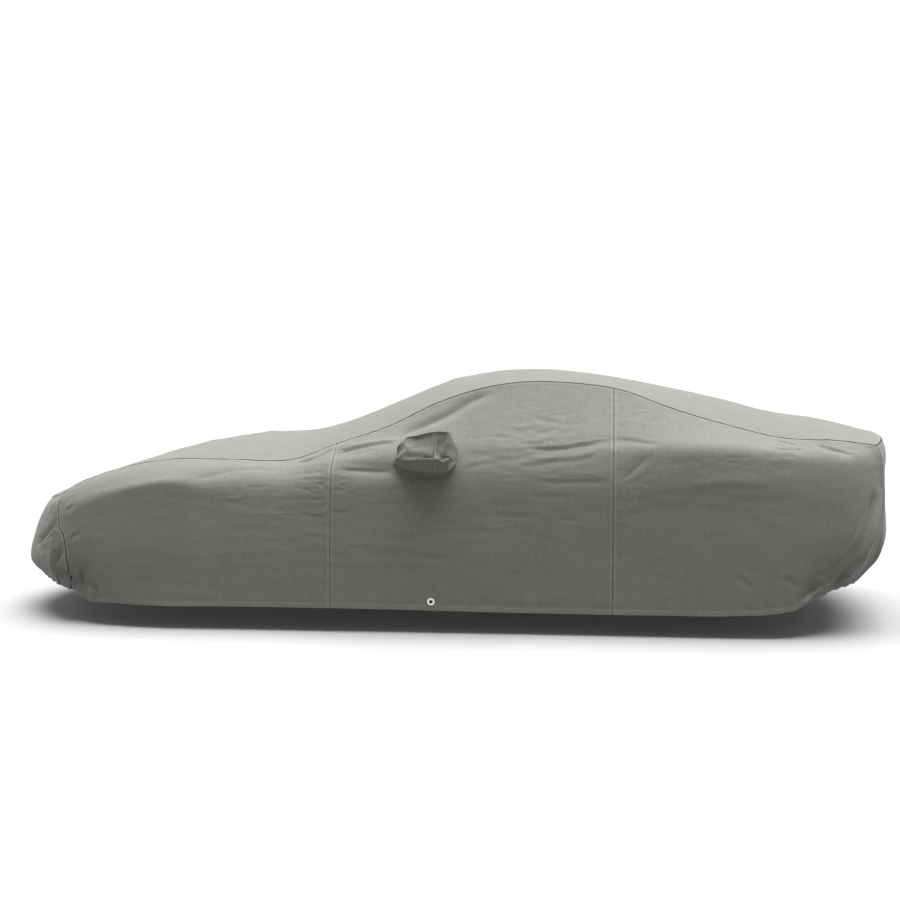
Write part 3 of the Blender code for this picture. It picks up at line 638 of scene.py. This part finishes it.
def wallPanel(name, span, cell, finish):
    edge = 1e-4
    low, high = span
    columns, across = columnPlaces(wallPoint, (low + edge, high - edge), 2, cell)
    dense, lengths = lengthsDown(wallPoint, columns, (0, 4))
    sided = left if high <= 0 else right if low >= 1 and high <= 17 else 0
    distances = spaced(lengths[-1], 0, panelForm["rows"][sided], panelForm["lean"] if sided else 0)
    v = lookedUp(distances, lengths, dense)
    w = np.broadcast_to(columns[None, :], v.shape)
    hemAway = lengths[-1][None, :] - distances
    points, normals, uprights, corners = wallCloth(w, v, distances, hemAway)
    rumpled = 0.1 * wrinkled(points.reshape(-1, 3))[1].reshape(w.shape)
    # a corner seam's painted shadow line is drawn finer than the long seam's
    marks = {
        "seamAway": np.minimum(distances, corners + 0.002), "uprightAway": uprights,
        "hemAway": hemAway, "rumpled": rumpled,
    }
    down, deep = allowance(points[0], points[1], normals[0])
    points = np.concatenate([[deep, down], points])
    normals = np.pad(normals, ((2, 0), (0, 0), (0, 0)), "edge")
    distances = np.concatenate([distances[:1] - [[tuck["width"]], [tuck["down"]]], distances])
    points, distances = turnHem(points, normals, distances)
    extra = len(points) - len(normals)
    down, deep = allowance(points[:, -1], points[:, -2], np.pad(normals[:, -1], ((0, extra), (0, 0)), "edge"))
    points = np.concatenate([points, down[:, None], deep[:, None]], axis=1)
    distances = np.pad(distances, ((0, 0), (0, 2)), "edge")
    across = np.append(across, across[-1] + np.array([tuck["down"], tuck["width"]]))
    marks = {mark: np.pad(away, ((2, extra), (0, 2)), "edge") for mark, away in marks.items()}
    cut = np.stack(np.broadcast_arrays(across[None, :], distances), -1)
    return thicken(gridPiece(name, points, cut, marks, finish))


def turnHem(points, normals, distances):
    # the cloth goes round the hem and up again inside
    radius, rows = cover["hemRadius"], panelForm["hemRows"]
    facing = normals[-1]
    down = unit(points[-1] - points[-4])
    middle = points[-1] - facing * radius
    angles = np.radians((36, 72, 108, 144))
    turned = [middle + radius * (facing * math.cos(angle) + down * math.sin(angle)) for angle in angles]
    turned += [points[-n] - normals[-n] * 2 * radius for n in range(1, rows + 2)]
    further = distances[-1] + np.linspace(0.001, cover["hemTurn"], len(turned))[:, None]
    return np.concatenate([points, np.array(turned)]), np.concatenate([distances, further])


def topPanel(finish):
    cell = panelForm["cells"]["top"]
    columns, run = columnPlaces(topPoint, (1e-4, 16 - 1e-4), 0.6, cell)
    dense, lengths = lengthsDown(topPoint, columns, (-1, 1))
    distances = spaced(lengths[-1], cell)
    c = lookedUp(distances, lengths, dense)
    points, _, nearest = topCloth(np.broadcast_to(columns[None, :], c.shape), c)
    cut = np.stack(np.broadcast_arrays(distances, run[None, :]), -1)
    marks = {"seamAway": nearest, "uprightAway": far, "hemAway": far, "rumpled": 0.01}
    return thicken(gridPiece("top-cloth", points, cut, marks, finish))


# The eyelets: the place in the wall, and the sizes of the two pressed parts
eyelet = {"at": 7.97, "v": 3.825, "bore": 0.0085, "radius": 0.018, "plate": 0.001, "dome": 0.0017,
          "hole": 0.0105, "cleared": 0.015, "segments": 64, "front": 0.0003, "back": -0.0023}


def eyeletPlace(side):
    w, v = side * (eyelet["at"] + 1), eyelet["v"]
    step = 0.05
    middle = Vector(wallPoint(w, v))
    ahead = Vector(wallPoint(w + side * step, v) - wallPoint(w - side * step, v)).normalized()
    down = Vector(wallPoint(w, v + step) - wallPoint(w, v - step))
    axis = down.cross(ahead).normalized() * -side
    turned = Matrix((ahead, axis.cross(ahead), axis)).transposed().to_4x4()
    return Matrix.Translation(middle) @ turned


def removeFaces(piece, isGone, mend=None):
    mesh = bmesh.new()
    mesh.from_mesh(piece.data)
    bmesh.ops.delete(mesh, geom=[face for face in mesh.faces if isGone(face)], context="FACES")
    if mend:
        mend(mesh)
    mesh.to_mesh(piece.data)
    mesh.free()
    piece.data.shade_smooth()


def openEyelet(piece, side):
    # a round hole in the cloth, joined to the grid round it
    place = eyeletPlace(side)

    def isGone(face):
        near = (face.calc_center_median() - place.translation).length < eyelet["cleared"]
        return near and face.normal.dot(place.col[2].to_3d()) > 0.5

    def mend(mesh):
        loop = [e for e in mesh.edges if e.is_boundary
                and (e.verts[0].co - place.translation).length < 2 * eyelet["cleared"]
                and abs((place.inverted() @ e.verts[0].co).z) < 0.0015]
        sunk = place @ Matrix.Translation((0, 0, -0.0002))
        ring = bmesh.ops.create_circle(mesh, segments=len(loop), radius=eyelet["hole"], matrix=sunk)
        rim = list({e for vert in ring["verts"] for e in vert.link_edges})
        bmesh.ops.bridge_loops(mesh, edges=loop + rim)

    removeFaces(piece, isGone, mend)


def makeEyelet(side, finish):
    # a domed front plate with a rolled bore, a barrel through the cloth and a flat ring behind it
    radius, bore, plate, dome, front, back = (
        eyelet[name] for name in ("radius", "bore", "plate", "dome", "front", "back")
    )
    barrel = bore + 0.0008
    profile = [(barrel, front - 0.0002), (radius - 0.0006, front), (radius, front + 0.0003)]
    middle, half = (barrel + radius) / 2, (radius - bore) / 2
    for angle in np.linspace(0, math.pi, 13):
        height = dome * math.sin(angle) ** 0.8
        profile.append((middle + half * math.cos(angle), front + plate / 2 + height))
    profile += [
        (bore, front - 0.0004), (bore, back - 0.0006), (bore + 0.0005, back - 0.0013),
        (bore + 0.003, back - 0.0014), (radius - 0.0012, back - plate),
        (radius - 0.0008, back - 0.0005), (radius - 0.0012, back), (barrel, back),
    ]
    mesh = bmesh.new()
    verts = [mesh.verts.new((r, 0, z)) for r, z in profile]
    edges = [mesh.edges.new(pair) for pair in zip(verts, verts[1:] + verts[:1])]
    bmesh.ops.spin(
        mesh, geom=verts + edges, axis=(0, 0, 1), cent=(0, 0, 0), angle=math.tau,
        steps=eyelet["segments"], use_merge=True,
    )
    bmesh.ops.remove_doubles(mesh, verts=mesh.verts[:], dist=1e-6)
    bmesh.ops.recalc_face_normals(mesh, faces=mesh.faces[:])
    bmesh.ops.transform(mesh, matrix=eyeletPlace(side), verts=mesh.verts[:])
    piece = finished(meshOf(f"eyelet-{sideNames[side]}", mesh), finish)
    piece.data.set_sharp_from_angle(angle=math.radians(50))
    return piece


# The mirror pockets: at, x, topOut, top, ridgeOut, ridge, underOut, under
pocketRows = (
    (7.5, -142, 900, 953, 962, 858, 938, 806),
    (7.75, -65, 964, 980, 1016, 866, 978, 800),
    (8, 14, 1006, 1000, 1045, 872, 1000, 798),
    (8.25, 64, 1018, 1001, 1043, 870, 1000, 798),
    (8.38, 94, 996, 988, 1016, 874, 972, 808),
)
pocketForm = {
    "first": 7.2, "last": 8.46, "seam": 8, "seamGap": 0.002,
    # places along it, and how far down the wall its foot starts and ends there
    "foot": ((7.2, 1.2, 1.52), (7.5, 0.82, 1.74), (7.75, 0.7, 1.84), (8.25, 0.68, 1.84), (8.46, 0.74, 1.76)),
    "radii": (0, 0.008, 0.012, 0.018, 0), "sag": 0.01, "lift": 0.0008,
    "hold": 0.018,  # how near the wall the cloth follows its creases
    "turn": 0.35,  # a turn's length against a row's, in the table of creases
}
# the pocket's creases: depth (a ridge's is below 0), reach, and points in its own rows (at) and turns (v)
pocketCreases = (
    (-12, 40, (7.22, 2.1), (7.36, 1.82), (7.52, 1.62), (7.7, 1.6), (7.88, 1.68), (8.05, 1.72)),
    (-11, 30, (7.3, 0.95), (7.44, 1.23), (7.57, 1.45), (7.68, 1.58)),
    (3, 30, (7.3, 1.42), (7.4, 1.46), (7.5, 1.5)),
    (6, 45, (7.56, 1.1), (7.7, 1.2), (7.84, 1.28), (8.02, 1.36)),
    (5, 22, (7.6, 1.34), (7.72, 1.3), (7.84, 1.36)),
    (6, 26, (7.8, 1.98), (7.92, 1.92), (8.05, 1.96)),
    (6, 28, (7.36, 2.35), (7.6, 2.45), (7.9, 2.5)),
    (9, 30, (8.02, 1.62), (8.14, 1.7), (8.28, 1.86), (8.44, 2.2)),
    (-7, 26, (8.1, 1.85), (8.22, 1.72), (8.34, 1.5), (8.42, 1.2)),
    (8, 25, (8.16, 2.1), (8.28, 2.02), (8.42, 2.1)),
    (-8, 24, (8.2, 2.5), (8.32, 2.2), (8.44, 1.95)),
    (6, 22, (8.05, 1.45), (8.16, 1.5), (8.26, 1.46)),
    (5, 20, (8.1, 1.22), (8.22, 1.26), (8.34, 1.24)),
    (-6, 22, (8.02, 2.02), (8.14, 2.12), (8.26, 2.34)),
    (7, 25, (8.26, 3), (8.34, 2.6), (8.45, 2.4)),
)


def footEdges(at):
    # how far down the wall the pocket's foot starts and ends
    places, tops, bottoms = zip(*pocketForm["foot"])
    return np.interp(at, places, tops), np.interp(at, places, bottoms)


def pocketPoint(side, at, v):
    # a place on the pocket before its creases; v counts its turns from 0 at the top of the foot to 4
    table = []
    for place, *row in ((pocketForm["first"],), *pocketRows, (pocketForm["last"],)):
        corners = wallPoint(side * (place + 1), np.linspace(*footEdges(place), 5))
        if row:
            x, *pairs = row
            corners[1:4] = placed([(x, *pair) for pair in zip(pairs[::2], pairs[1::2])], side)
        table.append((place, *corners.ravel()))
    corners = along(table, at)[..., 1:].reshape(*at.shape, 5, 3)
    radii = np.broadcast_to(np.array(pocketForm["radii"], float), (*at.shape, 5))
    return rounded(corners, radii, v)


def pocketPiece(name, side, span, finish):
    first, last, seam, gap = (pocketForm[key] for key in ("first", "last", "seam", "seamGap"))
    low, high = span
    columns = np.linspace(low + gap * (low == seam), high - gap * (high == seam), 50)
    at, v = np.meshgrid(columns[::side], np.linspace(0, 4, 93))

    def plainShape(at, v):
        return pocketPoint(side, at, v)

    points = plainShape(at, v)
    alongAt, alongV = slopes(plainShape, at, v, (first, last), (0, 4))
    normals = unit(np.cross(alongAt, alongV)) * side
    # the foot lies on the wall's own creases
    tops, bottoms = footEdges(at)
    downs = tops + (bottoms - tops) * v / 4
    wallAt = side * (at + 1)
    dense, lengths = lengthsDown(wallPoint, wallAt[0], (0, 4))
    seamDistance = lookedUp(downs, dense, lengths)
    ground, facing = wallCloth(wallAt, downs, seamDistance, lengths[-1] - seamDistance)[:2]
    wall = wallPoint(wallAt, downs)
    settled = ground - wall + facing * pocketForm["lift"]
    points = points + settled * bell(lengthOf(points - wall) / pocketForm["hold"])[..., None]
    ends = smooth((at - first) / 0.5) * smooth((last - at) / 0.25)
    push = -pocketForm["sag"] * bell((v - 1.5) / 0.35) * ends
    turn = pocketForm["turn"]
    places = np.stack([at, v * turn, np.zeros_like(at)], -1).reshape(-1, 3)
    for depth, reach, *line in pocketCreases:
        away, place, _, _ = nearLine(places, np.array([(a, b * turn, 0) for a, b in line]))
        fade = smooth(place / 0.2) * smooth((1 - place) / 0.2)
        push -= (depth / mm * np.exp(-((away * mm / reach) ** 1.3)) * fade).reshape(at.shape)
    seamAway = np.abs(at - seam) * lengthOf(alongAt)
    footAway = np.minimum(v, 4 - v) * lengthOf(alongV)
    rumple = waves(points, (0.085, 0.07, 0.04), 6.1)
    crumple = waves(points, (0.034, 0.034, 0.024), 3.3)
    pleat = waves(points, (0.016, 0.05, 0.05), 8.1)
    corner = bell((at - last + 0.1) / 0.16) * bell((v - 2.1) / 0.6)
    push += 0.0026 * (0.35 - np.sqrt(rumple**2 + 0.0006) * 2) + 0.0014 * rumple
    push += 0.006 * (0.3 - np.abs(crumple) * 2) * corner + 0.0026 * pleat * bell(footAway / 0.022)
    push *= 1 - bell(footAway / 0.006)
    push += seamForm["ridge"] * bell((seamAway - 0.006) / 0.004) - 0.001 * bell(seamAway / 0.002)
    points = points + normals * push[..., None]
    # these marks draw a painted shadow line and a painted highlight band along the pocket's foot and its seam
    marks = {"seamAway": footAway + 0.0045, "uprightAway": seamAway + 0.003, "hemAway": far, "rumpled": 0.1}
    down, across = running(points).mean(1), running(points.swapaxes(0, 1)).mean(1)
    return thicken(gridPiece(name, points, np.stack(np.meshgrid(across, down), -1), marks, finish))


def openPocket(piece, side):
    # the wall is open behind the pocket
    ends = sorted(side * (pocketForm[name] + 1) for name in ("first", "last"))
    places = np.linspace(*ends, 60)
    edges = [wallPoint(places, downs) for downs in footEdges(np.abs(places) - 1)]
    order = np.argsort(edges[0][:, 0])
    low, high = sorted(wallPoint(ends, 1)[:, 0])
    margin = 0.006

    def isGone(face):
        x, y, z = face.calc_center_median()
        if abs(y) < 0.6 or not low + margin < x < high - margin:
            return False
        top, bottom = (np.interp(x, line[order, 0], line[order, 2]) for line in edges)
        return bottom + margin < z < top - margin

    removeFaces(piece, isGone)


class Socket:
    # a shader socket with Python's arithmetic
    def __init__(self, shader, link):
        self.shader, self.link = shader, link

    def maths(self, operation, *values):
        return self.shader.node("Math", {"operation": operation}, dict(enumerate(values)))

    def __add__(self, other):
        return self.maths("ADD", self, other)

    def __sub__(self, other):
        return self.maths("SUBTRACT", self, other)

    def __rsub__(self, other):
        return self.maths("SUBTRACT", other, self)

    def __mul__(self, other):
        return self.maths("MULTIPLY", self, other)

    __radd__ = __add__
    __rmul__ = __mul__


class Shader:
    def __init__(self, name, settings):
        self.material = bpy.data.materials.new(name)
        self.material.use_nodes = True
        self.tree = self.material.node_tree
        self.surface = self.tree.nodes["Principled BSDF"]
        for socket, value in settings.items():
            self.surface.inputs[socket].default_value = value

    def node(self, kind, settings, inputs, output=0):
        made = self.tree.nodes.new(f"ShaderNode{kind}")
        for name, value in settings.items():
            setattr(made, name, value)
        for name, value in inputs.items():
            self.feed(made.inputs[name], value)
        return Socket(self, made.outputs[output])

    def feed(self, socket, value):
        if isinstance(value, Socket):
            self.tree.links.new(value.link, socket)
        else:
            socket.default_value = value

    def paint(self, socket, value):
        self.feed(self.surface.inputs[socket], value)

    def noise(self, vector, scale, detail=2.0):
        if isinstance(scale, tuple):  # stretched along each axis
            vector, scale = self.node("Mapping", {}, {"Vector": vector, "Scale": scale}), 1.0
        return self.node("TexNoise", {}, {"Vector": vector, "Scale": scale, "Detail": detail})

    def bump(self, height, strength, depth):
        relief = {"Height": height, "Strength": strength, "Distance": depth}
        self.paint("Normal", self.node("Bump", {}, relief))

    def within(self, value, near, far, amount=1.0):
        # the whole amount where the value is below near, and nothing where it is above far
        reach = {"Value": value, "From Min": near, "From Max": far, "To Min": amount, "To Max": 0.0}
        return self.node("MapRange", {"interpolation_type": "SMOOTHSTEP"}, reach)

    def mixed(self, factor, a, b):
        return self.node("Mix", {"data_type": "RGBA", "clamp_factor": True}, {0: factor, 6: a, 7: b}, 2)


clothFinish = {
    "dark": (0.175, 0.176, 0.158, 1),
    "light": (0.315, 0.316, 0.289, 1),
    # the colour of the painted shadow along the seams' grooves
    "paintedSeamShadow": (0.045, 0.045, 0.04, 1),
    "streak": (58, 20, 1),  # how many times a metre each pattern repeats, along the piece and down it
    "fleck": (900, 420, 1),
    "fibre": (2600, 800, 1),
    "crinkle": (7, 88, 1),
    "fineCrinkle": (24, 250, 1),
    "bumpDepth": 0.0016,
}


def clothMaterial():
    shader = Shader("grey non-woven cloth", {"Roughness": 0.82, "Sheen Weight": 0.1, "Sheen Roughness": 0.5})
    cut = shader.node("UVMap", {"uv_map": "cut"}, {})
    body = shader.node("TexCoord", {}, {}, "Object")
    seamAway, uprightAway, hemAway, rumpled = (
        shader.node("Attribute", {"attribute_name": mark}, {}, "Fac")
        for mark in ("seamAway", "uprightAway", "hemAway", "rumpled")
    )
    cloud = shader.noise(body, 7, 3)
    streak, fleck, fibre, crinkle, fine = (
        shader.noise(cut, clothFinish[pattern], detail)
        for pattern, detail in (("streak", 4), ("fleck", 3), ("fibre", 2), ("crinkle", 3), ("fineCrinkle", 2))
    )
    # painted highlight: the cloth is drawn paler beside a seam's stitches and along the hem, standing in for
    # the light that catches the raised cloth there
    paintedHighlight = shader.within(seamAway, 0.012, 0.019, 0.65) + shader.within(uprightAway, 0.012, 0.017, 0.35)
    paintedHighlight = paintedHighlight + shader.within(hemAway, 0.0025, 0.006, 0.45)
    shade = 0.5 + (streak - 0.5) * 0.5 + (cloud - 0.5) * 0.3 + (fleck - 0.5) * 0.35 + paintedHighlight
    colour = shader.mixed(shade, clothFinish["dark"], clothFinish["light"])
    # painted shadow: a dark line is drawn along each seam, standing in for the shade in its groove
    paintedSeamShadow = shader.within(seamAway, 0.0042, 0.0072, 1.0) + shader.within(uprightAway, 0.0012, 0.004, 0.42)
    shader.paint("Base Color", shader.mixed(paintedSeamShadow, colour, clothFinish["paintedSeamShadow"]))
    puckered = shader.within(seamAway, 0.012, 0.05) + shader.within(uprightAway, 0.012, 0.05, 0.8)
    ruffled = rumpled * 8 + puckered
    height = fibre * 0.07 + fleck * 0.1 + fine * (0.22 + ruffled * 0.3) + crinkle * (0.62 + ruffled * 0.45)
    shader.bump(height, 0.75, clothFinish["bumpDepth"])
    shader.paint("Roughness", 0.78 + fleck * 0.12)
    return shader.material


def threadMaterial():
    shader = Shader("grey sewing thread", {"Roughness": 0.6, "Sheen Weight": 0.2})
    body = shader.node("TexCoord", {}, {}, "Object")
    twist = shader.noise(body, 900)
    shader.paint("Base Color", shader.mixed(twist, (0.26, 0.26, 0.24, 1), (0.42, 0.42, 0.39, 1)))
    return shader.material


def nickelMaterial():
    shader = Shader("nickel plate", {"Metallic": 1.0, "Roughness": 0.2})
    body = shader.node("TexCoord", {}, {}, "Object")
    haze = shader.noise(body, 260, 3)
    scratch = shader.noise(body, (900, 2600, 900))
    shader.paint("Base Color", shader.mixed(haze, (0.62, 0.6, 0.56, 1), (0.8, 0.78, 0.74, 1)))
    shader.paint("Roughness", 0.14 + haze * 0.16 + scratch * 0.06)
    shader.bump(scratch, 0.15, 0.0001)
    return shader.material


# The stitches: one bead of thread, and how far apart
stitch = {
    "pitch": 0.0062, "half": 0.0023, "width": 0.00055, "height": 0.00045,
    "away": 0.0085, "hemAway": 0.022,  # from a seam and from the hem
}


def threadRun(name, runs, finish):
    # each run is its places and facings; a stitch lies between each place and the next
    bead = bmesh.new()
    bmesh.ops.create_uvsphere(bead, u_segments=4, v_segments=2, radius=1)
    bmesh.ops.triangulate(bead, faces=bead.faces[:])
    bead.verts.index_update()
    base = np.array([vert.co for vert in bead.verts])
    faces = np.array([[vert.index for vert in face.verts] for face in bead.faces])
    bead.free()
    base = base[:, [2, 0, 1]] * (stitch["half"], stitch["width"], stitch["height"])
    corners = []
    for places, facings in runs:
        ahead = unit(np.diff(places, axis=0))
        up = unit(facings[:-1])
        across = unit(np.cross(up, ahead))
        middle = (places[:-1] + places[1:]) / 2 + up * stitch["height"] * 0.4
        turned = np.stack([ahead, across, np.cross(ahead, across)], axis=1)
        corners.append((middle[:, None, :] + base @ turned).reshape(-1, 3))
    corners = np.concatenate(corners)
    starts = np.arange(0, len(corners), len(base))
    mesh = bpy.data.meshes.new(name)
    mesh.from_pydata(corners.tolist(), [], (faces[None] + starts[:, None, None]).reshape(-1, 3).tolist())
    return finished(mesh, finish)


def evenly(surface, low, high, level):
    # places along a level of a surface, a stitch apart
    dense, run = lengthsAlong(surface, (low, high), level, 2401)
    return np.interp(np.arange(0.006, run[-1] - 0.006, stitch["pitch"]), run, dense)


def belowSeam(low, high, away):
    # a row of stitches below the long seam
    w = evenly(wallPoint, low, high, 0.02)
    dense, lengths = lengthsDown(wallPoint, w, (0, 0.6), 61)
    v = lookedUp(np.full(w.shape, away), lengths, dense)
    return wallCloth(w, v, away, far)[:2]


def aboveSeam(side, away):
    at = evenly(topPoint, 0.02, 15.98, side * 0.99)
    _, alongC = slopes(topPoint, at, np.full(at.shape, side * 0.99), *topEnds)
    return topCloth(at, side * (1 - away / lengthOf(alongC)))[:2]


def besideCross(at, away):
    # a row of stitches beside the top panel's nose or tail seam
    c = evenly(lambda c, at: topPoint(at, c), -0.985, 0.985, at)
    alongAt, _ = slopes(topPoint, np.full(c.shape, float(at)), c, *topEnds)
    inwards = 1 if at == 0 else -1
    return topCloth(at + inwards * away / lengthOf(alongAt), c)[:2]


def besideUpright(seam, away):
    # a row of stitches down one side of an upright seam
    v = evenly(lambda v, w: wallPoint(w, v), 0, 4, seam)
    alongW, _ = slopes(wallPoint, np.full(v.shape, float(seam)), v, *wallEnds)
    dense, lengths = lengthsDown(wallPoint, np.array([float(seam)]), (0, 4))
    distance = lookedUp(v[:, None], dense, lengths)[:, 0]
    return wallCloth(seam + away / lengthOf(alongW), v, distance, lengths[-1, 0] - distance)[:2]


def besideHem(low, high):
    w = evenly(wallPoint, low, high, 3.95)
    dense, lengths = lengthsDown(wallPoint, w, (3, 4), 61)
    v = lookedUp(lengths[-1] - stitch["hemAway"], lengths, dense)
    return wallCloth(w, v, far, stitch["hemAway"])[:2]


def makeThreads(finish):
    away = stitch["away"]
    pieces = {}
    for side, hand in sideNames.items():
        ends = sorted((side * 1.02, side * 16.98))
        pieces[f"long-seam-thread-{hand}"] = [belowSeam(*ends, away), aboveSeam(side, away)]
        pieces[f"upright-seam-thread-{hand}"] = [
            besideUpright(side * seam, sign * away)
            for seam in cover["cornerSeams"] + cover["sideSeams"] for sign in (-1, 1)
        ]
        pieces[f"hem-thread-{hand}"] = [besideHem(*sorted((0, side * 18)))]
    cross = [besideCross(end, away) for end in (0, 16)]
    pieces["cross-seam-thread"] = cross + [belowSeam(-0.98, 0.98, away), belowSeam(17.02, 18.98, away)]
    return [threadRun(name, runs, finish) for name, runs in pieces.items()]


studio = {
    "eye": (0.397, -9.578, 0.344), "target": (-0.5, 0, -0.427), "lens": 72,
    "floor": -1.256, "floorColour": (0.58, 0.58, 0.58, 1), "reach": 40,
    "overheadPower": 4.95, "overheadSpread": 60, "overheadTilt": (-3, 6), "roomLight": 0.205,
}


def stagePiece(name, mesh, settings):
    # a part of the studio, which the cover's own surfaces get no light from
    piece = finished(meshOf(name, mesh), Shader(name, settings).material)
    piece.visible_diffuse = False
    piece.visible_shadow = False


def makeStudio():
    camera = linked(bpy.data.cameras.new("camera"))
    camera.data.lens = studio["lens"]
    camera.data.sensor_width = 36
    camera.location = studio["eye"]
    sight = Vector(studio["target"]) - Vector(studio["eye"])
    camera.rotation_euler = sight.to_track_quat("-Z", "Y").to_euler()
    scene.camera = camera

    ground = bmesh.new()
    bmesh.ops.create_grid(ground, x_segments=1, y_segments=1, size=studio["reach"])
    bmesh.ops.translate(ground, verts=ground.verts[:], vec=(0, 0, studio["floor"]))
    stagePiece("floor", ground, {"Base Color": studio["floorColour"], "Roughness": 0.9})
    bowl = bmesh.new()
    bmesh.ops.create_uvsphere(bowl, u_segments=48, v_segments=24, radius=studio["reach"] * 0.9)
    bmesh.ops.reverse_faces(bowl, faces=bowl.faces[:])
    white = {"Base Color": (0, 0, 0, 1), "Emission Color": (1, 1, 1, 1), "Emission Strength": 1.0}
    stagePiece("backdrop", bowl, white)

    sun = bpy.data.lights.new("overhead", "SUN")
    sun.energy = studio["overheadPower"]
    sun.angle = math.radians(studio["overheadSpread"])
    linked(sun).rotation_euler = [math.radians(angle) for angle in (*studio["overheadTilt"], 0)]
    world = bpy.data.worlds.new("pale room")
    world.use_nodes = True
    background = world.node_tree.nodes["Background"]
    background.inputs["Color"].default_value = (1, 1, 1, 1)
    background.inputs["Strength"].default_value = studio["roomLight"]
    scene.world = world
    scene.view_settings.view_transform = "Standard"


def declare(piece, nodes=()):
    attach(piece, "root")
    if nodes:
        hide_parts(*nodes)


def main():
    makeStudio()
    print("studio ready")
    cloth, thread, nickel = clothMaterial(), threadMaterial(), nickelMaterial()
    declare(topPanel(cloth), ["top_panel"])
    print("top panel draped")
    cells = panelForm["cells"]
    for end, span in panelForm["ends"].items():
        declare(wallPanel(f"{end}-cloth", span, cells[end], cloth), [f"{end}_panel"])
    print("nose and tail draped")
    for side, hand in sideNames.items():
        for panel, span in panelForm["sides"].items():
            name = f"{panel.replace('_', '-')}-cloth-{hand}"
            piece = wallPanel(name, sorted(side * place for place in span), cells[side], cloth)
            nodes = [f"{panel}_{hand}"]
            if panel == "middle_side":
                openPocket(piece, side)
                openEyelet(piece, side)
                nodes.append(f"eyelet_strip_{hand}")
            declare(piece, nodes)
        for part, ends in (("face", ("first", "seam")), ("end", ("seam", "last"))):
            piece = pocketPiece(f"pocket-{part}-{hand}", side, [pocketForm[end] for end in ends], cloth)
            declare(piece, [f"mirror_pocket_{part}_{hand}"])
        declare(makeEyelet(side, nickel), [f"eyelet_{hand}"])
        print(hand, "side draped")
    for piece in makeThreads(thread):
        declare(piece)
    print("seams stitched")


main()
